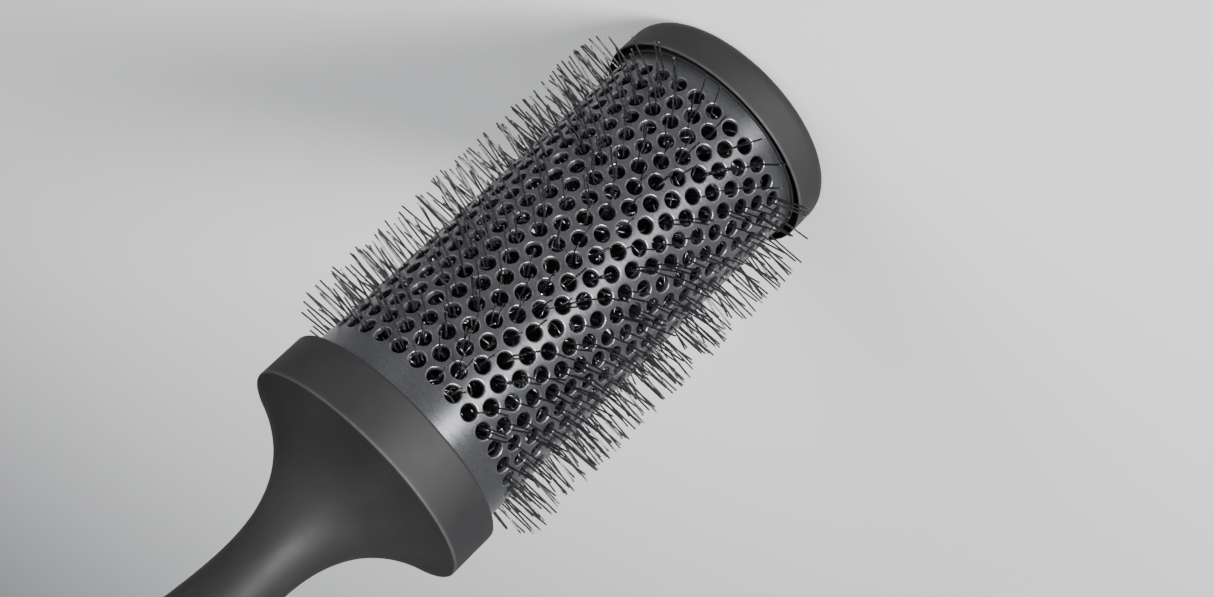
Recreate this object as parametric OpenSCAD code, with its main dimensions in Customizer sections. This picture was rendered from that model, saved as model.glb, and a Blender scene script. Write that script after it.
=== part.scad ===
// Round barrel brush with a vented metal barrel, a twisted-in-wire nylon bristle core and a
// soft-touch handle. It stands on its end cap: the origin is the centre of the cap's flat
// face, and +Z runs along the barrel's axis towards the handle.

/* [Barrel] */
// Outside diameter of the barrel tube
barrel_d = 55; // [50:0.5:56]
// Wall thickness of the barrel tube
barrel_wall = 0.8; // [0.6:0.1:1]
// Diameter of each round vent
vent_d = 3.8; // [3.4:0.1:4]
// Vents in each ring round the barrel
vents_per_ring = 32; // [30:1:34]
// Rings of vents along the barrel
vent_rings = 21; // [11:2:21]
// Distance between neighbouring rings
ring_pitch = 4.6; // [4.4:0.05:4.8]
// Plain strip from the last ring's centres to the end cap
cap_margin = 5.6; // [4.4:0.1:8]
// Plain strip from the first ring's centres to the collar
collar_margin = 8.6; // [7:0.1:12]
// How deep the tube sits in the cap and in the collar
tube_seat = 4; // [3:0.5:4]

/* [Bristles] */
// Diameter across the bristle tips
bristle_d = 76; // [68:1:80]
// Diameter of one nylon bristle
filament_d = 0.42; // [0.3:0.02:0.46]
// Mean number of bristles in a vent
bristles_mean = 1.45; // [1:0.05:1.9]
// Spread of the bristle ends, from the longest to the shortest
tip_spread = 1.1; // [0:0.1:2]

/* [End cap] */
// Outside diameter of the end cap
cap_d = 60.8; // [60:0.2:64]
// Length of the end cap
cap_l = 10.9; // [10.5:0.1:14]
// Corner radius round the flat end
cap_corner = 4; // [2:0.5:5]
// Thickness of the flat end
cap_floor = 3; // [2.6:0.1:3.4]

/* [Handle] */
// Outside diameter of the collar band
collar_d = 61.5; // [60:0.1:64]
// Width of the collar band
collar_w = 12.7; // [10:0.1:16]
// Diameter of the neck
neck_d = 14.2; // [14:0.2:18]
// Largest diameter of the grip
grip_d = 23.2; // [20:0.2:28]
// Diameter of the grip near its end
tail_d = 20.6; // [18:0.2:24]
// Length of the whole brush
overall_l = 255; // [245:1:280]
// Thickness of the soft-touch skin on the handle and round the end cap
skin = 1.6; // [1.2:0.1:1.8]

/* [Wire core] */
// Diameter of each of the two core wires
wire_d = 1.8; // [1.6:0.1:1.9]
// Length of wire in one full twist
twist_pitch = 13; // [10:1:18]

/* [Hidden] */
$fn = 96;

// Heights along the axis, from the cap's flat face up to the tail.
last_ring_z = cap_l + cap_margin;
first_ring_z = last_ring_z + (vent_rings - 1) * ring_pitch;
collar_z = first_ring_z + collar_margin;
shoulder_z = collar_z + collar_w;
tube_low_z = cap_l - tube_seat;
tube_high_z = collar_z + tube_seat;

// Radii that the pieces share, and the clearance of the push fits.
barrel_r = barrel_d / 2;
bore_r = barrel_r - barrel_wall;
fit = 0.05;
spigot_r = bore_r - fit;
spigot_wall = 2;
web = 2.4;

// The bell starts at the collar's rear edge and thins exponentially to the neck.
bell_drop = 0.28;
bell_length = 9.5;
bell_top_r = collar_d / 2 - bell_drop;
bell_turn = atan((bell_top_r - neck_d / 2) / bell_length);
collar_rear_edge = bell_drop / (1 - cos(bell_turn));
bell_z = shoulder_z - collar_rear_edge * (1 - sin(bell_turn));
swell_z = shoulder_z + 19;
grip_z = shoulder_z + 76;
tail_dome = 9;
tail_z = overall_l - tail_dome;
collar_edge = 0.6;
cap_edge = 0.5;

// Wire core, its two crimped ferrules and the hubs that hold them.
strand_r = wire_d / 2;
twist_r = wire_d;
ferrule_r = twist_r + 0.9;
ferrule_l = 9;
hub_r = ferrule_r + 2.4;
cap_ferrule_z = cap_floor + 1.2;
handle_ferrule_z = tube_high_z - web;
wire_low_z = cap_ferrule_z + 0.6;
wire_high_z = handle_ferrule_z + ferrule_l - 0.6;

// The bristles' packed roots stand in a ring of thin wedges round the wires.
root_in_r = twist_r + fit;
root_out_r = 3.6;
root_gap = 0.06;
root_end = 1.8;
row_angle = 360 / vents_per_ring;

// Where a bristle may pass: across the vent, and along the barrel.
vent_reach = 0.95;
vent_step = 0.75;
root_step = 0.95;
along_jitter = 0.15;

function row_name(i) = str("bristle_row_", i < 9 ? "0" : "", i + 1);

// A repeatable number from 0 to 1 for a whole number n.
function noise(n) = let (a = (n * 7919 + 12345) % 1000003) ((a * a + 31 * a) % 1000003) / 1000003;

// Whole number that names one bristle's own property: row, ring, bristle and property.
function tag(row, ring, q = 0, p = 0) = ((row * 64 + ring) * 4 + q) * 8 + p;

function ring_z(ring) = first_ring_z - ring * ring_pitch;

// Even rings lie half a vent to one side of a row's middle, and odd rings to the other.
function vent_side(ring) = (ring % 2 == 0 ? -1 : 1) * row_angle / 4;

function bristles_in(row, ring) = floor(3 * noise(tag(row, ring)) + bristles_mean - 1);

// Points of an arc round (r, z), from angle a to angle b.
function arc(r, z, radius, a, b, n = 12) =
    [for (i = [0 : n]) let (t = a + (b - a) * i / n) [r + radius * cos(t), z + radius * sin(t)]];

function ease(t) = (1 - cos(180 * min(max(t, 0), 1))) / 2;

// Radius of the bell, neck and grip at height z.
function grip_r(z) =
    neck_d / 2
    + (bell_top_r - neck_d / 2) * exp(-(z - bell_z) / bell_length)
    + (grip_d - neck_d) / 2 * ease((z - swell_z) / (grip_z - swell_z))
    - (grip_d - tail_d) / 2 * ease((z - grip_z) / (tail_z - grip_z));

// Half outline of the bell and the grip up to the end of the tail, moved in and down by "in".
function grip_outline(in) =
    let (end_r = grip_r(tail_z) - in, steps = 44)
    concat(
        [for (i = [1 : steps]) let (z = bell_z + (tail_z - bell_z) * pow(i / steps, 1.5))
            [grip_r(z) - in, z - in]],
        [for (i = [1 : 9]) [end_r * cos(10 * i), tail_z - in + tail_dome * sin(10 * i)]]
    );

module handle_skin() {
    collar_r = collar_d / 2;
    color("#2b2c2f")
    difference() {
        rotate_extrude()
        polygon(concat(
            [[0, collar_z]],
            arc(collar_r - collar_edge, collar_z + collar_edge, collar_edge, -90, 0, 6),
            arc(collar_r - collar_rear_edge, shoulder_z - collar_rear_edge,
                collar_rear_edge, 0, bell_turn, 4),
            grip_outline(0)
        ));
        core_outline();
        translate([0, 0, collar_z - 1]) cylinder(h = tube_high_z - collar_z + 1, r = barrel_r + fit);
    }
}

// The solid shape that the soft-touch skin is moulded over.
module core_outline() {
    rotate_extrude()
    polygon(concat(
        [[0, tube_high_z], [collar_d / 2 - skin, tube_high_z],
            [collar_d / 2 - skin, bell_z - skin - 0.3], [bell_top_r - skin, bell_z - skin]],
        grip_outline(skin)
    ));
}

// A ring wall, a web and ribs that carry a hub, in the open end of the barrel.
module spigot(z, h, web_z) {
    translate([0, 0, z])
    difference() {
        cylinder(h = h, r = spigot_r);
        translate([0, 0, -1]) cylinder(h = h + 2, r = spigot_r - spigot_wall);
    }
    translate([0, 0, z]) cylinder(h = h, r = hub_r);
    translate([0, 0, web_z]) cylinder(h = web, r = spigot_r - spigot_wall / 2);
    for (i = [0 : 5])
        rotate([0, 0, 60 * i])
        translate([hub_r - 1, -0.8, z + 0.8])
        cube([spigot_r - spigot_wall / 2 - hub_r + 1, 1.6, h - 1.6]);
}

module handle_core() {
    core_bore_r = 3.9;
    color("#1d1e20")
    difference() {
        union() {
            core_outline();
            spigot(tube_high_z - 9, 9, tube_high_z - web);
        }
        translate([0, 0, handle_ferrule_z]) cylinder(h = ferrule_l, r = ferrule_r + fit);
        translate([0, 0, tube_high_z - 10]) cylinder(h = 11, r = ferrule_r + fit);
        translate([0, 0, handle_ferrule_z + ferrule_l - 1]) cylinder(h = 95, r = core_bore_r);
    }
}

module barrel_tube() {
    color("#77787c")
    difference() {
        translate([0, 0, tube_low_z]) cylinder(h = tube_high_z - tube_low_z, r = barrel_r);
        translate([0, 0, tube_low_z - 1]) cylinder(h = tube_high_z - tube_low_z + 2, r = bore_r);
        for (row = [0 : vents_per_ring - 1], ring = [0 : vent_rings - 1])
            rotate([0, 0, row * row_angle + vent_side(ring)])
            translate([bore_r - 1, 0, ring_z(ring)])
            rotate([0, 90, 0])
            cylinder(h = barrel_wall + 2, d = vent_d, $fn = 24);
    }
}

// Soft-touch cover over the plug, with the flat face that the brush stands on.
module end_cap() {
    cap_r = cap_d / 2;
    color("#2b2c2f")
    difference() {
        rotate_extrude()
        polygon(concat(
            [[0, 0]],
            arc(cap_r - cap_corner, cap_corner, cap_corner, -90, 0, 14),
            arc(cap_r - cap_edge, cap_l - cap_edge, cap_edge, 0, 90, 5),
            [[0, cap_l]]
        ));
        translate([0, 0, cap_floor]) cylinder(h = tube_low_z - cap_floor, r = cap_r - skin);
        translate([0, 0, tube_low_z]) cylinder(h = cap_l, r = barrel_r + fit);
    }
}

module cap_plug() {
    plug_r = cap_d / 2 - skin;
    plug_top_z = last_ring_z - vent_d / 2 - 0.8;
    color("#1d1e20")
    difference() {
        union() {
            translate([0, 0, cap_floor]) cylinder(h = tube_low_z - cap_floor, r = plug_r);
            spigot(tube_low_z - 0.5, plug_top_z - tube_low_z + 0.5, tube_low_z);
        }
        translate([0, 0, cap_ferrule_z]) cylinder(h = 20, r = ferrule_r + fit);
    }
}

// One of the two wires, twisted round the other along the axis.
module core_wire(start) {
    l = wire_high_z - wire_low_z;
    color("#9a9ca0")
    translate([0, 0, wire_low_z])
    linear_extrude(height = l, twist = -360 * l / twist_pitch, slices = 84, $fn = 10)
    rotate(start) translate([strand_r, 0]) circle(r = strand_r - fit / 2, $fn = 10);
}

module core_wire_a() { core_wire(0); }

module core_wire_b() { core_wire(180); }

module ferrule(z) {
    color("#b4b6ba")
    translate([0, 0, z])
    difference() {
        cylinder(h = ferrule_l, r = ferrule_r);
        translate([0, 0, -1]) cylinder(h = ferrule_l + 2, r = twist_r + fit);
    }
}

module handle_ferrule() { ferrule(handle_ferrule_z); }

module cap_ferrule() { ferrule(cap_ferrule_z); }

// A straight rod of diameter d from point p to point q.
module rod(p, q, d) {
    v = q - p;
    translate(p)
    rotate([0, acos(v[2] / norm(v)), atan2(v[1], v[0])])
    cylinder(h = norm(v), d = d, $fn = 16);
}

// One bristle, from its root through the vent to its tip, on the side of the row's middle.
module bristle(row, ring, q, count) {
    id = tag(row, ring, q);
    rank = q - (count - 1) / 2;
    along = rank * vent_step + along_jitter * (2 * noise(id + 1) - 1);
    across = vent_reach * (2 * noise(id + 2) - 1);
    tip_r = bristle_d / 2 - tip_spread * noise(id + 3);
    root_r = (root_in_r + root_out_r) / 2;
    root = [root_r, 0, ring_z(ring) + rank * root_step];
    side = barrel_r * sin(vent_side(ring)) + across;
    vent = [barrel_r, side, ring_z(ring) + along];
    rod(root, root + (vent - root) * (tip_r - root_r) / (barrel_r - root_r), filament_d);
}

// The wedge of packed roots that ties one row of bristles together.
module root_pack() {
    half = row_angle / 2;
    in_w = root_in_r * sin(half) - root_gap / 2;
    out_w = root_out_r * sin(half) - root_gap / 2;
    z = ring_z(vent_rings - 1) - root_end;
    translate([0, 0, z])
    linear_extrude(ring_z(0) + root_end - z)
    polygon([[root_in_r, -in_w], [root_out_r, -out_w], [root_out_r, out_w], [root_in_r, in_w]]);
}

module bristle_row(row) {
    color("#17181a")
    rotate([0, 0, row * row_angle])
    union() {
        root_pack();
        for (ring = [0 : vent_rings - 1])
            let (count = bristles_in(row, ring))
            for (q = [0 : 1 : count - 1])
                bristle(row, ring, q, count);
    }
}

handle_core();
handle_skin();
barrel_tube();
end_cap();
cap_plug();
core_wire_a();
core_wire_b();
handle_ferrule();
cap_ferrule();
for (i = [0 : vents_per_ring - 1])
    bristle_row(i);
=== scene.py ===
"""Looks of the round barrel brush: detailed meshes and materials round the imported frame.

The brush stands on its end cap, with +Z towards the handle. Shapes are worked out in millimetres
in the frame's own axes, and turned into metres when a mesh is made.
"""
import math

import bpy
import numpy as np
from mathutils import Matrix, Vector


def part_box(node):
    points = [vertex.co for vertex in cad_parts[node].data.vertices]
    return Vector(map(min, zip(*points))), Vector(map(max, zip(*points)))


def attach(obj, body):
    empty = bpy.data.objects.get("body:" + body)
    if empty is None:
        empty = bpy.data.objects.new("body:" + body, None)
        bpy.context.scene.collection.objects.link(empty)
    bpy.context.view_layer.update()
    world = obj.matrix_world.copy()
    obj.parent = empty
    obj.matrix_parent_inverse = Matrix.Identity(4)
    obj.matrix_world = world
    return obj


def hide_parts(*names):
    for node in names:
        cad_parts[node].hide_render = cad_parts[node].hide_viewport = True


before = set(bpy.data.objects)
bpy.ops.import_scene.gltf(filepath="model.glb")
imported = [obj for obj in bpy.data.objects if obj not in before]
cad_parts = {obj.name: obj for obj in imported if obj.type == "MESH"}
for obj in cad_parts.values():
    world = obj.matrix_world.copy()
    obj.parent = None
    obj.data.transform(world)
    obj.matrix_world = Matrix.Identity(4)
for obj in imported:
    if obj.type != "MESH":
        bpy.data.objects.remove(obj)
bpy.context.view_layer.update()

MM = 0.001
BODY = "root"

# ---------------------------------------------------------------- sizes, from the frame


def extent(node):
    """Radius about the axis, lowest z and highest z of a round CAD node, in millimetres."""
    low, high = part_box(node)
    return high.x / MM, low.z / MM, high.z / MM


BARREL_R, BARREL_LOW, BARREL_HIGH = extent("barrel_tube")
COLLAR_R, COLLAR_Z, OVERALL_L = extent("handle_skin")
CAP_R, _, CAP_HIGH = extent("end_cap")

# Vents: the same rule as the CAD tube.
WALL = 0.8
VENT_R = 1.9
VENTS_PER_RING = 32
RINGS = 21
RING_PITCH = 4.6
LAST_RING_Z = CAP_HIGH + 5.6
FIRST_RING_Z = LAST_RING_Z + (RINGS - 1) * RING_PITCH
ROW_ANGLE = 2 * math.pi / VENTS_PER_RING

# Handle outline: the same rule as the CAD skin.
COLLAR_W = 12.7
SHOULDER_Z = COLLAR_Z + COLLAR_W
NECK_R = 7.1
GRIP_R = 11.6
TAIL_R = 10.3
BELL_LENGTH = 9.5
BELL_DROP = 0.28
BELL_TOP_R = COLLAR_R - BELL_DROP
BELL_TURN = math.atan((BELL_TOP_R - NECK_R) / BELL_LENGTH)
REAR_EDGE = BELL_DROP / (1 - math.cos(BELL_TURN))
BELL_Z = SHOULDER_Z - REAR_EDGE * (1 - math.sin(BELL_TURN))
SWELL_Z = SHOULDER_Z + 19
GRIP_Z = SHOULDER_Z + 76
TAIL_DOME = 9.0
TAIL_Z = OVERALL_L - TAIL_DOME
SKIN = 1.6

# The seats in the skin and the cap that take the barrel's ends, and their eased mouths.
SEAT_R = BARREL_R + 0.05
MOUTH_R = BARREL_R + 0.2

# Rubbed wear and a painted highlight along an edge: the distance that is fully marked, and the one
# over which it fades out.
WEAR_AND_HIGHLIGHT_REACH = 0.15
WEAR_AND_HIGHLIGHT_FADE = 0.25

# Bristles: their number, their places in the vents and their tips follow the CAD rows, whose
# bristles are straight. The lean, the bow from the core and the trapped filaments are added here.
BRISTLES_MEAN = 1.45
FILAMENT_R = 0.22
TIP_R = 38.0
TIP_SPREAD = 1.1
LEAN_SIDE = math.radians(5.5)
LEAN_UP = math.radians(6.5)
ROOT_R = 1.3
TRAPPED_IN_CELL = 2

# ---------------------------------------------------------------- meshes


def add_mesh(name, points, faces, material, normals=None, attribute=None):
    """A smooth-shaded piece that rides on the brush. Points are in millimetres."""
    mesh = bpy.data.meshes.new(name)
    mesh.from_pydata((np.asarray(points) * MM).tolist(), [], faces)
    mesh.validate()
    mesh.polygons.foreach_set("use_smooth", [True] * len(mesh.polygons))
    if attribute is not None:
        layer = mesh.attributes.new(attribute[0], "FLOAT", "POINT")
        layer.data.foreach_set("value", np.asarray(attribute[1], np.float32))
    if normals is not None:
        mesh.normals_split_custom_set_from_vertices(np.asarray(normals).tolist())
    mesh.materials.append(material)
    piece = bpy.data.objects.new(name, mesh)
    bpy.context.scene.collection.objects.link(piece)
    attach(piece, BODY)
    return piece


def revolve(name, outline, wear_and_highlight_edges, material, segments=192):
    """A closed outline of (r, z) points turned about the axis. Points on the axis become poles.

    Points close to an edge given as (r, z) are marked for rubbed wear and a painted highlight line.
    """
    angles = np.arange(segments) * 2 * math.pi / segments
    points, rings, marks = [], [], []
    for r, z in with_guards(outline):
        gap = min(math.hypot(r - edge_r, z - edge_z) for edge_r, edge_z in wear_and_highlight_edges)
        mark = min(max(1.0 - (gap - WEAR_AND_HIGHLIGHT_REACH) / WEAR_AND_HIGHLIGHT_FADE, 0.0), 1.0)
        first = len(points)
        if r < 1e-6:
            points.append((0.0, 0.0, z))
            marks.append(mark)
            rings.append([first] * segments)
        else:
            points.extend((r * math.cos(a), r * math.sin(a), z) for a in angles)
            marks.extend([mark] * segments)
            rings.append(list(range(first, first + segments)))
    faces = []
    for low, high in zip(rings, rings[1:] + rings[:1]):
        if low[0] == low[1] and high[0] == high[1]:
            continue
        for i in range(segments):
            j = (i + 1) % segments
            corners = [low[i], low[j], high[j], high[i]]
            faces.append(tuple(dict.fromkeys(corners)))
    # The mark, stored as "worn", lightens these edges: rubbed wear and a painted highlight line.
    return add_mesh(name, points, faces, material, attribute=("worn", marks))


def with_guards(outline, reach=0.45):
    """The closed outline, with points near the ends of its long straights, for crisp shading."""
    guarded = []
    for (r0, z0), (r1, z1) in zip(outline, outline[1:] + outline[:1]):
        guarded.append((r0, z0))
        length = math.hypot(r1 - r0, z1 - z0)
        if length > 3 * reach and max(r0, r1) > 1:
            for t in (reach / length, 1 - reach / length):
                guarded.append((r0 + (r1 - r0) * t, z0 + (z1 - z0) * t))
    return guarded


def arc(r, z, radius, start, end, steps):
    """Points of an arc round (r, z), from start to end degrees."""
    angles = np.radians(np.linspace(start, end, steps + 1))
    return [(r + radius * math.cos(a), z + radius * math.sin(a)) for a in angles]


def ease(t):
    """Smooth step from 0 to 1."""
    return (1 - math.cos(math.pi * min(max(t, 0.0), 1.0))) / 2


def grip_r(z):
    """Radius of the bell, neck and grip at height z."""
    return (NECK_R
            + (BELL_TOP_R - NECK_R) * math.exp(-(z - BELL_Z) / BELL_LENGTH)
            + (GRIP_R - NECK_R) * ease((z - SWELL_Z) / (GRIP_Z - SWELL_Z))
            - (GRIP_R - TAIL_R) * ease((z - GRIP_Z) / (TAIL_Z - GRIP_Z)))


def grip_outline(inset, steps):
    """Outline of the bell, grip and tail dome up to the axis, moved in and down by inset."""
    dome_steps = 18
    points = []
    for i in range(1, steps + 1):
        z = BELL_Z + (TAIL_Z - BELL_Z) * (i / steps) ** 1.5
        points.append((grip_r(z) - inset, z - inset))
    end_r = grip_r(TAIL_Z) - inset
    for i in range(1, dome_steps + 1):
        t = math.radians(90 / dome_steps * i)
        points.append((end_r * math.cos(t), TAIL_Z - inset + TAIL_DOME * math.sin(t)))
    points[-1] = (0.0, points[-1][1])
    return points


def build_handle(material):
    """Soft-touch skin: collar band with a crisp rear edge, bell and grip over the rigid core."""
    edge, rear_turn = 0.6, math.degrees(BELL_TURN)
    outside = (arc(COLLAR_R - edge, COLLAR_Z + edge, edge, -90, 0, 8)
               + arc(COLLAR_R - REAR_EDGE, SHOULDER_Z - REAR_EDGE, REAR_EDGE, 0, rear_turn, 8)
               + grip_outline(0.0, 120))
    inside = ([(COLLAR_R - SKIN, BELL_Z - SKIN - 0.3), (BELL_TOP_R - SKIN, BELL_Z - SKIN)]
              + grip_outline(SKIN, 60))
    mouth = [(COLLAR_R - SKIN, BARREL_HIGH), (SEAT_R, BARREL_HIGH), (SEAT_R, COLLAR_Z + 0.15),
             (MOUTH_R, COLLAR_Z)]
    outline = outside + inside[::-1] + mouth
    # The rear edge is marked lighter: rubbed wear and a painted highlight line.
    rear_edge = (COLLAR_R - 0.08, SHOULDER_Z - 0.2)
    piece = revolve("handle_soft_skin", outline, [rear_edge], material)
    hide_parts("handle_skin")


def build_cap(material):
    """Soft-touch end cap: flat face, rounded corner, band, and a groove round the tube's seat."""
    corner, edge, floor = 4.0, 0.35, 3.0
    rim, lip_r = 0.5, BARREL_R + 0.6
    lip_z, lip_foot, groove_z = CAP_HIGH - 0.15, CAP_HIGH - 0.3, CAP_HIGH - 2.4
    face_rings = (8.0, 16.0, 22.0, 25.4)
    outside = ([(0.0, 0.0)]
               + [(r, 0.0) for r in face_rings]
               + arc(CAP_R - corner, corner, corner, -90, 0, 24)
               + arc(CAP_R - edge, CAP_HIGH - edge, edge, 0, 90, 8)
               + [(CAP_R - rim, CAP_HIGH - 0.1), (CAP_R - rim, groove_z), (lip_r, groove_z)])
    inside = [(lip_r, lip_foot), (lip_r - 0.15, lip_z), (MOUTH_R, lip_z), (SEAT_R, lip_foot),
              (SEAT_R, BARREL_LOW), (CAP_R - SKIN, BARREL_LOW), (CAP_R - SKIN, floor), (0.0, floor)]
    # The top edge is marked lighter: rubbed wear and a painted highlight line.
    top_edge = (CAP_R, CAP_HIGH - 0.15)
    piece = revolve("soft_end_cap", outside + inside, [top_edge], material)
    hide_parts("end_cap")


# ---------------------------------------------------------------- barrel


def cell_outline(edge_steps):
    """Border of one vent's six-sided cell in the staggered pattern, as (along the arc, up)."""
    half = ROW_ANGLE * BARREL_R / 2
    top = (half ** 2 + RING_PITCH ** 2) / (2 * RING_PITCH)
    side = top - half ** 2 / RING_PITCH
    corners = [(0, top), (-half, side), (-half, -side), (0, -top), (half, -side), (half, side)]
    border = []
    for (x0, y0), (x1, y1) in zip(corners, corners[1:] + corners[:1]):
        for i in range(edge_steps):
            t = i / edge_steps
            border.append((x0 + (x1 - x0) * t, y0 + (y1 - y0) * t))
    return np.array(border)


def vent_place(row, ring):
    """Angle and height of a vent: even rings sit a quarter row to one side, odd to the other."""
    side = -1 if ring % 2 == 0 else 1
    return row * ROW_ANGLE + side * ROW_ANGLE / 4, FIRST_RING_Z - ring * RING_PITCH


def wrap(arc_length, height, depth):
    """Point of the barrel at an arc length round it, a height and a depth below its surface."""
    a = arc_length / BARREL_R
    r = BARREL_R - depth
    return np.stack([r * np.cos(a), r * np.sin(a), height], axis=-1)


def build_barrel(material):
    """Perforated tube whose vents have rims rolled inwards, as one closed mesh."""
    rim, lip_depth, lip_out = 0.4, 1.25, 0.42
    strip_margin = 0.5
    cells_per_mm = 2000
    border = cell_outline(4)
    count = len(border)
    angle = np.arctan2(border[:, 1], border[:, 0])
    outward = np.stack([np.cos(angle), np.sin(angle)], axis=1)
    # Each ring of a cell: offset radius (None is the border), depth, turn of the normal, rim mark.
    profile = [(None, 0.0, 0, 0.0), (VENT_R + rim, 0.0, 0, 0.0)]
    for turn, mark in ((45, 0.35), (90, 0.3)):
        t = math.radians(turn)
        profile.append((VENT_R + rim * (1 - math.sin(t)), rim * (1 - math.cos(t)), turn, mark))
    profile += [(VENT_R, lip_depth, 90, 0.0), (VENT_R + lip_out, WALL, 200, 0.0),
                (None, WALL, 180, 0.0)]
    points, normals, rims, faces = [], [], [], []

    def add(arc_length, height, depth, turn, lean, mark):
        """Adds points whose normal leans by turn degrees from the surface's towards lean."""
        a = arc_length / BARREL_R
        t = math.radians(turn)
        out = np.stack([np.cos(a), np.sin(a), np.zeros_like(a)], axis=1)
        round_it = np.stack([-np.sin(a), np.cos(a), np.zeros_like(a)], axis=1)
        up = np.array([0.0, 0.0, 1.0])
        points.append(wrap(arc_length, height, depth))
        sideways = lean[:, :1] * round_it + lean[:, 1:] * up
        normals.append(math.cos(t) * out + math.sin(t) * sideways)
        rims.append(np.full(len(a), mark))

    base = 0
    for row in range(VENTS_PER_RING):
        for ring in range(RINGS):
            place, height = vent_place(row, ring)
            for radius, depth, turn, mark in profile:
                offset = border if radius is None else outward * radius
                along, z = place * BARREL_R + offset[:, 0], height + offset[:, 1]
                add(along, z, depth, turn, -outward, mark)
            for k in range(len(profile) - 1):
                low = base + k * count
                for i in range(count):
                    j = (i + 1) % count
                    faces.append((low + i, low + j, low + count + j, low + count + i))
            base += len(profile) * count

    # Plain strips above the first ring and below the last one, closed over the tube's ends.
    per_vent = 8
    steps = VENTS_PER_RING * per_vent
    top = border[:, 1].max()
    half = ROW_ANGLE * BARREL_R / 2
    for ring, sign, end in ((0, 1, BARREL_HIGH), (RINGS - 1, -1, BARREL_LOW)):
        place, height = vent_place(0, ring)
        along = (np.arange(steps) / per_vent - 0.5) * 2 * half
        fold = np.abs((np.arange(steps) / per_vent) % 1 - 0.5) * 2
        side = border[np.abs(border[:, 0]) > half - 1e-9][:, 1].max()
        edge = height + sign * (top - (top - side) * fold)
        near, far = height + sign * (top + strip_margin), end
        path = [(edge, 0.0), (near, 0.0), (far, 0.0), (far, WALL), (near, WALL), (edge, WALL)]
        for z, depth in path:
            z = np.broadcast_to(z, along.shape).astype(float)
            turn = 0 if depth == 0 else 180
            add(place * BARREL_R + along, z, depth, turn, np.zeros((steps, 2)), 0.0)
        for k in range(len(path) - 1):
            low = base + k * steps
            for i in range(steps):
                j = (i + 1) % steps
                quad = (low + i, low + j, low + steps + j, low + steps + i)
                faces.append(quad if sign > 0 else quad[::-1])
        base += len(path) * steps

    points, normals, rims = (np.concatenate(part) for part in (points, normals, rims))
    # Cells and strips share their borders: points that coincide become one.
    key = np.round(points * cells_per_mm).astype(np.int64)
    _, first, where = np.unique(key, axis=0, return_index=True, return_inverse=True)
    where = where.reshape(-1)
    joined = [tuple(int(where[v]) for v in face) for face in faces]
    piece = add_mesh("vented_barrel", points[first], joined, material,
                     normals[first], ("rim", rims[first]))
    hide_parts("barrel_tube")


# ---------------------------------------------------------------- bristles


def noise(n):
    """A repeatable number from 0 to 1 for a whole number n: the CAD's own rule."""
    a = (n * 7919 + 12345) % 1000003
    return ((a * a + 31 * a) % 1000003) / 1000003


def tag(row, ring, q=0, p=0):
    """The whole number that noise() is given for bristle q of a vent: the CAD's own rule."""
    return ((row * 64 + ring) * 4 + q) * 8 + p


def bristles_in(row, ring):
    """Number of bristles in a vent, none to three."""
    return math.floor(3 * noise(tag(row, ring)) + BRISTLES_MEAN - 1)


def curve_path(root, vent, out, length, bend, inner_steps=6, outer_steps=6):
    """Centre line of a bristle: a smooth bow from root to vent, then out with a slight bend."""
    reach = np.linalg.norm(vent - root)
    start = (vent - root) / reach
    path = []
    for t in np.linspace(0, 1, inner_steps + 1):
        # Hermite weights: root, direction at the root, vent, direction at the vent.
        h = (2 * t ** 3 - 3 * t ** 2 + 1, t ** 3 - 2 * t ** 2 + t,
             -2 * t ** 3 + 3 * t ** 2, t ** 3 - t ** 2)
        path.append(h[0] * root + h[1] * reach * start + h[2] * vent + h[3] * reach * out)
    for t in np.linspace(0, 1, outer_steps + 1)[1:]:
        path.append(vent + out * length * t + bend * t * t)
    return np.array(path)


def tube(path, radius, sides=8):
    """Round tube along a path, with a domed tip, as (points, faces)."""
    tangents = np.gradient(path, axis=0)
    tangents /= np.linalg.norm(tangents, axis=1)[:, None]
    helper = np.array([0.0, 0.0, 1.0])
    angles = np.arange(sides) * 2 * math.pi / sides
    centres = list(path[:-1])
    dirs = list(tangents[:-1])
    radii = [radius] * len(centres)
    for turn in (0, 35, 65):
        t = math.radians(turn)
        centres.append(path[-1] - tangents[-1] * radius * (1 - math.sin(t)))
        dirs.append(tangents[-1])
        radii.append(radius * math.cos(t))
    points = []
    for centre, direction, r in zip(centres, dirs, radii):
        across = np.cross(direction, helper)
        across /= np.linalg.norm(across)
        other = np.cross(direction, across)
        ring = np.cos(angles)[:, None] * across + np.sin(angles)[:, None] * other
        points.append(centre + r * ring)
    points = np.concatenate(points + [path[:1], path[-1:]])
    rings = len(centres)
    faces = []
    for k in range(rings - 1):
        near, far = k * sides, (k + 1) * sides
        for i in range(sides):
            j = (i + 1) % sides
            faces.append((near + i, near + j, far + j, far + i))
    root_point, tip_point = rings * sides, rings * sides + 1
    last = (rings - 1) * sides
    for i in range(sides):
        j = (i + 1) % sides
        faces.append((j, i, root_point))
        faces.append((last + i, last + j, tip_point))
    return points, faces


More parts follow.
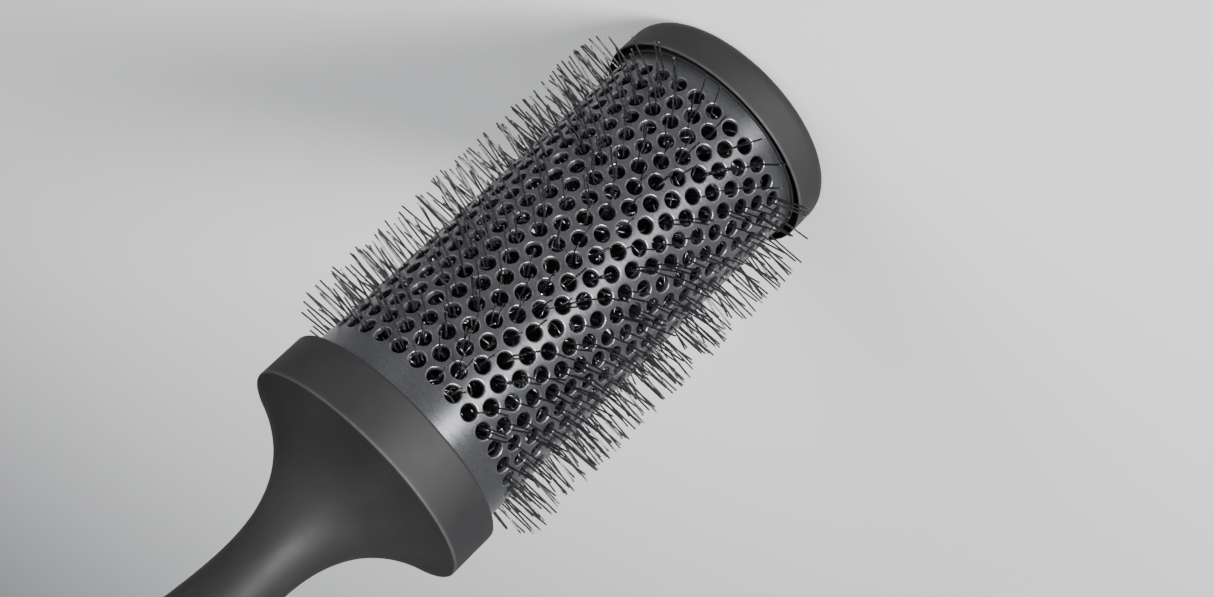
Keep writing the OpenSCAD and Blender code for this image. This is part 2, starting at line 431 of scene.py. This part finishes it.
def bristle(row, ring, q, count):
    """Path of one bristle, in the row's own axes: +X is outwards through the row's middle."""
    reach, vent_step, jitter = 0.95, 0.75, 0.15
    root_step, root_spread = 0.95, 5.0
    key = tag(row, ring, q)
    rank = q - (count - 1) / 2
    along = rank * vent_step + jitter * (2 * noise(key + 1) - 1)
    across = reach * (2 * noise(key + 2) - 1)
    tip_r = TIP_R - TIP_SPREAD * noise(key + 3)
    side = (-1 if ring % 2 == 0 else 1) * ROW_ANGLE / 4
    z = FIRST_RING_Z - ring * RING_PITCH
    vent = np.array([BARREL_R * math.cos(side), BARREL_R * math.sin(side) + across, z + along])
    root_shift = root_spread * (noise(key + 4) - 0.5)
    root = np.array([ROOT_R, 0.0, z + rank * root_step + root_shift])
    radial = np.array([vent[0], vent[1], 0.0]) / math.hypot(vent[0], vent[1])
    round_it = np.array([-radial[1], radial[0], 0.0])
    lean_side = LEAN_SIDE * (2 * noise(key + 5) - 1)
    lean_up = LEAN_UP * (2 * noise(key + 6) - 1) - 0.3 * root_shift / BARREL_R
    out = radial + math.tan(lean_side) * round_it + math.tan(lean_up) * np.array([0.0, 0.0, 1.0])
    out /= np.linalg.norm(out)
    length = (tip_r - math.hypot(vent[0], vent[1])) / (out @ radial)
    bend = 0.4 * (noise(key + 7) - 0.5) * round_it + np.array([0.0, 0.0, 0.35 * (along - rank)])
    return curve_path(root, vent, out, length, bend)


def trapped(row, ring, q):
    """Path of a filament that missed the vents: it bends over against the inside of the barrel."""
    side_spread, root_spread = 0.9, 4.0
    key = tag(row, ring, q, 1)
    angle = ROW_ANGLE * (0.5 + side_spread * (noise(key) - 0.5))
    z = FIRST_RING_Z - RING_PITCH * (ring + noise(key + 1) - 0.5)
    z = min(max(z, LAST_RING_Z), FIRST_RING_Z)
    wall = BARREL_R - WALL - FILAMENT_R - 0.1
    curl = 2 * math.pi * noise(key + 2)
    around, up = math.cos(curl), math.sin(curl)
    start_z = z + root_spread * (noise(key + 3) - 0.5)
    # Distance from the axis, and slide along the wall, at each point of the filament.
    bow = ((ROOT_R, 0.0), (9.0, 0.1), (17.0, 0.3), (22.5, 0.8), (25.2, 1.7),
           (wall, 3.2), (wall, 5.4))
    path = []
    for r, slide in bow:
        a = angle + slide * around / max(r, 4.0)
        height = start_z + (z - start_z) * r / wall + slide * up
        path.append((r * math.cos(a), r * math.sin(a), height))
    return np.array(path)


def build_bristles(material):
    """One piece for each row of vents: the bristles that stand out, and those trapped beside."""
    for row in range(VENTS_PER_RING):
        points, faces, base = [], [], 0
        for ring in range(RINGS):
            count = bristles_in(row, ring)
            paths = [bristle(row, ring, q, count) for q in range(count)]
            paths += [trapped(row, ring, q) for q in range(TRAPPED_IN_CELL)]
            for path in paths:
                rod_points, rod_faces = tube(path, FILAMENT_R)
                points.append(rod_points)
                faces += [tuple(v + base for v in f) for f in rod_faces]
                base += len(rod_points)
        points = np.concatenate(points)
        points = points @ np.array(Matrix.Rotation(row * ROW_ANGLE, 3, "Z")).T
        piece = add_mesh(f"nylon_bristles_{row + 1:02d}", points, faces, material)
        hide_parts(f"bristle_row_{row + 1:02d}")


# ---------------------------------------------------------------- materials


class Nodes:
    """Short way to add and link a material's nodes."""

    def __init__(self, name):
        self.material = bpy.data.materials.new(name)
        self.material.use_nodes = True
        self.tree = self.material.node_tree
        self.shader = self.tree.nodes["Principled BSDF"]
        self.place = self.add("ShaderNodeTexCoord").outputs["Object"]

    def add(self, kind, **settings):
        node = self.tree.nodes.new(kind)
        for key, value in settings.items():
            setattr(node, key, value)
        return node

    def link(self, output, socket):
        self.tree.links.new(output, socket)

    def set(self, **values):
        for key, value in values.items():
            self.shader.inputs[key.replace("_", " ")].default_value = value

    def noise(self, scale, detail=2.0, rough=0.5, stretch=None):
        node = self.add("ShaderNodeTexNoise")
        node.inputs["Scale"].default_value = scale
        node.inputs["Detail"].default_value = detail
        node.inputs["Roughness"].default_value = rough
        place = self.place
        if stretch is not None:
            mapping = self.add("ShaderNodeMapping")
            mapping.inputs["Scale"].default_value = stretch
            self.link(place, mapping.inputs["Vector"])
            place = mapping.outputs["Vector"]
        self.link(place, node.inputs["Vector"])
        return node.outputs["Fac"]

    def ramp(self, value, low, high, out_low=0.0, out_high=1.0):
        node = self.add("ShaderNodeMapRange")
        limits = {"From Min": low, "From Max": high, "To Min": out_low, "To Max": out_high}
        for key, number in limits.items():
            node.inputs[key].default_value = number
        self.link(value, node.inputs["Value"])
        return node.outputs["Result"]

    def math(self, operation, a, b):
        node = self.add("ShaderNodeMath", operation=operation)
        for socket, value in zip(node.inputs, (a, b)):
            if isinstance(value, (int, float)):
                socket.default_value = value
            else:
                self.link(value, socket)
        return node.outputs["Value"]

    def mix(self, factor, a, b):
        node = self.add("ShaderNodeMix", data_type="RGBA")
        self.link(factor, node.inputs["Factor"])
        for name, value in (("A", a), ("B", b)):
            socket = [s for s in node.inputs if s.name == name and s.type == "RGBA"][0]
            if isinstance(value, tuple):
                socket.default_value = (*value, 1.0)
            else:
                self.link(value, socket)
        return [s for s in node.outputs if s.type == "RGBA"][0]

    def bump(self, height, distance, strength=1.0, under=None):
        node = self.add("ShaderNodeBump")
        node.inputs["Strength"].default_value = strength
        node.inputs["Distance"].default_value = distance
        self.link(height, node.inputs["Height"])
        if under is not None:
            self.link(under, node.inputs["Normal"])
        return node.outputs["Normal"]


def soft_touch_material():
    """Near-black rubbery coating: fine grain, cloudy where hands polish it, edges lighter from
    rubbed wear and a painted highlight.
    """
    n = Nodes("soft_touch_black")
    n.set(Specular_IOR_Level=0.13)
    clouds = n.noise(38, 4.0, 0.55)
    smudges = n.noise(160, 3.0, 0.6)
    grain = n.noise(5200, 2.0, 0.6)
    # The worn mark stands for rubbed wear and a painted highlight line along the edges: it lightens
    # and polishes the coating there.
    worn = n.add("ShaderNodeAttribute", attribute_name="worn").outputs["Fac"]
    worn = n.math("MULTIPLY", worn, n.ramp(n.noise(220, 3.0, 0.6), 0.3, 0.6, 0.5, 1.0))
    colour = n.mix(n.ramp(clouds, 0.35, 0.7), (0.0045, 0.0045, 0.0048), (0.0075, 0.0075, 0.0078))
    colour = n.mix(n.ramp(grain, 0.35, 0.7, 0.0, 0.3), colour, (0.0135, 0.0135, 0.014))
    # Painted highlight and rubbed wear: the marked edges take a lighter colour.
    n.link(n.mix(worn, colour, (0.022, 0.022, 0.0228)), n.shader.inputs["Base Color"])
    rough = n.ramp(clouds, 0.3, 0.7, 0.56, 0.68)
    rough = n.math("ADD", rough, n.ramp(smudges, 0.35, 0.7, -0.03, 0.04))
    n.link(n.math("SUBTRACT", rough, n.math("MULTIPLY", worn, 0.12)), n.shader.inputs["Roughness"])
    n.link(n.bump(grain, 0.00002, 0.5), n.shader.inputs["Normal"])
    return n.material


def ceramic_metal_material():
    """Charcoal ceramic coat on metal: fine speckle, faint lines round the tube, worn rims."""
    n = Nodes("ceramic_coated_metal")
    n.set(Specular_IOR_Level=0.5, Anisotropic=0.75, Anisotropic_Rotation=0.25)
    speckle = n.noise(3800, 2.0, 0.65)
    clouds = n.noise(45, 3.0, 0.5)
    lines = n.noise(40, 3.0, 0.6, stretch=(1.0, 1.0, 60.0))
    rim = n.add("ShaderNodeAttribute", attribute_name="rim").outputs["Fac"]
    coat = n.mix(n.ramp(speckle, 0.35, 0.68), (0.021, 0.0214, 0.0236), (0.045, 0.0457, 0.0497))
    cloudy = n.math("MULTIPLY", n.ramp(clouds, 0.35, 0.7), 0.35)
    coat = n.mix(cloudy, coat, (0.034, 0.0346, 0.0379))
    worn = n.math("MULTIPLY", rim, n.ramp(n.noise(420, 3.0, 0.6), 0.25, 0.6, 0.45, 0.95))
    n.link(n.mix(worn, coat, (0.2, 0.2025, 0.209)), n.shader.inputs["Base Color"])
    n.link(n.math("ADD", 0.7, n.math("MULTIPLY", worn, 0.25)), n.shader.inputs["Metallic"])
    rough = n.ramp(lines, 0.3, 0.7, 0.26, 0.34)
    rough = n.math("ADD", rough, n.ramp(speckle, 0.3, 0.7, -0.02, 0.05))
    n.link(n.math("SUBTRACT", rough, n.math("MULTIPLY", worn, 0.14)), n.shader.inputs["Roughness"])
    under = n.bump(lines, 0.00001, 0.5)
    n.link(n.bump(speckle, 0.000008, 0.5, under), n.shader.inputs["Normal"])
    return n.material


def nylon_material():
    """Glossy black nylon, a little uneven along each filament."""
    n = Nodes("black_nylon")
    n.set(Specular_IOR_Level=0.35, IOR=1.53)
    along = n.noise(900, 2.0, 0.5)
    colour = n.mix(along, (0.004, 0.004, 0.0045), (0.011, 0.011, 0.012))
    n.link(colour, n.shader.inputs["Base Color"])
    n.link(n.ramp(along, 0.3, 0.7, 0.16, 0.27), n.shader.inputs["Roughness"])
    n.link(n.bump(n.noise(4200, 1.0, 0.5), 0.000006, 0.4), n.shader.inputs["Normal"])
    return n.material


def moulded_plastic_material():
    """Black moulded plastic of the inner plugs, with a fine spark grain."""
    n = Nodes("moulded_black_plastic")
    grain = n.noise(2600, 3.0, 0.6)
    colour = n.mix(n.noise(60, 2.0), (0.008, 0.008, 0.009), (0.015, 0.015, 0.016))
    n.link(colour, n.shader.inputs["Base Color"])
    n.link(n.ramp(grain, 0.3, 0.7, 0.45, 0.6), n.shader.inputs["Roughness"])
    n.link(n.bump(grain, 0.00002, 0.5), n.shader.inputs["Normal"])
    return n.material


def drawn_metal_material(name, low, high, rough_low, rough_high):
    """Bright drawn metal with fine lengthwise lines, for the core wires and their ferrules."""
    n = Nodes(name)
    n.set(Metallic=1.0)
    lines = n.noise(300, 3.0, 0.6, stretch=(8.0, 8.0, 1.0))
    n.link(n.mix(lines, low, high), n.shader.inputs["Base Color"])
    n.link(n.ramp(lines, 0.3, 0.7, rough_low, rough_high), n.shader.inputs["Roughness"])
    n.link(n.bump(lines, 0.00001, 0.4), n.shader.inputs["Normal"])
    return n.material


def floor_material():
    """Pale matt studio board."""
    n = Nodes("pale_board")
    clouds = n.noise(3.0, 3.0, 0.5)
    colour = n.mix(clouds, (0.76, 0.765, 0.775), (0.80, 0.805, 0.815))
    n.link(colour, n.shader.inputs["Base Color"])
    n.link(n.ramp(n.noise(240, 2.0), 0.3, 0.7, 0.75, 0.85), n.shader.inputs["Roughness"])
    return n.material


def dress_inner_pieces():
    """Gives the CAD pieces that stay their own materials."""
    plastic = moulded_plastic_material()
    wire = drawn_metal_material("drawn_steel", (0.42, 0.42, 0.43), (0.58, 0.58, 0.59),
                                0.22, 0.36)
    sleeve = drawn_metal_material("crimped_aluminium", (0.55, 0.55, 0.56), (0.7, 0.7, 0.71),
                                  0.3, 0.42)
    finishes = {"handle_core": plastic, "cap_plug": plastic,
                "core_wire_a": wire, "core_wire_b": wire,
                "handle_ferrule": sleeve, "cap_ferrule": sleeve}
    for node, material in finishes.items():
        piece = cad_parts[node]
        for place in piece.material_slots:
            place.material = material


# ---------------------------------------------------------------- studio


def build_floor(material):
    """Round pale floor that the brush stands on, swept up into a low plain wall all round."""
    flat, cove, wall_top, segments = 3.5, 0.8, 1.8, 96
    outline = [(0.6, 0.0), (1.3, 0.0)]
    outline += arc(flat, cove, cove, -90, 0, 12) + [(flat + cove, wall_top)]
    angles = np.arange(segments) * 2 * math.pi / segments
    points = [(r * math.cos(a), r * math.sin(a), z) for r, z in outline for a in angles]
    middle = len(points)
    points.append((0.0, 0.0, 0.0))
    faces = [(middle, i, (i + 1) % segments) for i in range(segments)]
    for k in range(len(outline) - 1):
        near, far = k * segments, (k + 1) * segments
        for i in range(segments):
            j = (i + 1) % segments
            faces.append((near + i, far + i, far + j, near + j))
    mesh = bpy.data.meshes.new("studio_floor")
    mesh.from_pydata(points, [], faces)
    mesh.polygons.foreach_set("use_smooth", [True] * len(mesh.polygons))
    mesh.materials.append(material)
    floor = bpy.data.objects.new("studio_floor", mesh)
    bpy.context.scene.collection.objects.link(floor)


def direction(azimuth, elevation):
    """Unit vector at an azimuth from +X and an elevation, in degrees."""
    a, e = math.radians(azimuth), math.radians(elevation)
    return Vector((math.cos(e) * math.cos(a), math.cos(e) * math.sin(a), math.sin(e)))


def soft_light(name, target, azimuth, elevation, distance, size, power, spread):
    """Rectangular soft light that faces the target. A narrow spread lights less of the floor."""
    data = bpy.data.lights.new(name, "AREA")
    data.shape = "RECTANGLE"
    data.size, data.size_y = size
    data.energy = power
    data.spread = math.radians(spread)
    lamp = bpy.data.objects.new(name, data)
    lamp.visible_camera = False
    bpy.context.scene.collection.objects.link(lamp)
    way = direction(azimuth, elevation)
    lamp.location = target + way * distance
    lamp.rotation_euler = (-way).to_track_quat("-Z", "Y").to_euler()


def build_lights():
    """Three soft panels at the picture's upper left, a small one at its lower right, and a sky."""
    middle = Vector((0, 0, 0.11))
    soft_light("key_softbox", middle, azimuth=48, elevation=12, distance=2.6,
               size=(1.4, 0.7), power=8.5, spread=110)
    soft_light("side_panel", middle, azimuth=105, elevation=15, distance=2.5,
               size=(2.3, 0.8), power=10.0, spread=110)
    soft_light("high_panel", middle, azimuth=75, elevation=48, distance=1.8,
               size=(1.1, 0.8), power=4.5, spread=110)
    # The reflection of this small panel is the bright streak along the barrel.
    soft_light("streak_strip", middle, azimuth=-26, elevation=8, distance=1.6,
               size=(0.45, 0.45), power=6.8, spread=30)
    world = bpy.data.worlds.new("studio")
    bpy.context.scene.world = world
    world.use_nodes = True
    tree = world.node_tree
    backdrop = tree.nodes["Background"]
    backdrop.inputs["Color"].default_value = (0.88, 0.90, 0.93, 1)
    # Brighter round the sides than overhead, as between large soft panels.
    place = tree.nodes.new("ShaderNodeTexCoord")
    split = tree.nodes.new("ShaderNodeSeparateXYZ")
    fall = tree.nodes.new("ShaderNodeMapRange")
    limits = {"From Min": 0.2, "From Max": 0.9, "To Min": 0.62, "To Max": 0.3}
    for key, number in limits.items():
        fall.inputs[key].default_value = number
    tree.links.new(place.outputs["Generated"], split.inputs["Vector"])
    tree.links.new(split.outputs["Z"], fall.inputs["Value"])
    tree.links.new(fall.outputs["Result"], backdrop.inputs["Strength"])


def build_camera():
    """Camera beside the brush, a little towards its handle, rolled so that the barrel slants."""
    view_azimuth, view_elevation, view_roll = 2.26, 21.96, 134.2
    distance, lens, sensor = 0.4976, 62.92, 36.0
    aim = Vector((0.0004, -0.01075, 0.05676))
    data = bpy.data.cameras.new("camera")
    data.lens = lens
    data.sensor_width = sensor
    data.clip_start = 0.01
    camera = bpy.data.objects.new("camera", data)
    bpy.context.scene.collection.objects.link(camera)
    way = direction(view_azimuth, view_elevation)
    upright = (-way).to_track_quat("-Z", "Y").to_matrix()
    turn = Matrix.Rotation(math.radians(-view_roll), 3, "Z")
    camera.matrix_world = Matrix.Translation(aim + way * distance) @ (upright @ turn).to_4x4()
    bpy.context.scene.camera = camera


# ---------------------------------------------------------------- assembly

soft_touch = soft_touch_material()
build_handle(soft_touch)
build_cap(soft_touch)
build_barrel(ceramic_metal_material())
build_bristles(nylon_material())
dress_inner_pieces()
build_floor(floor_material())
build_lights()
build_camera()
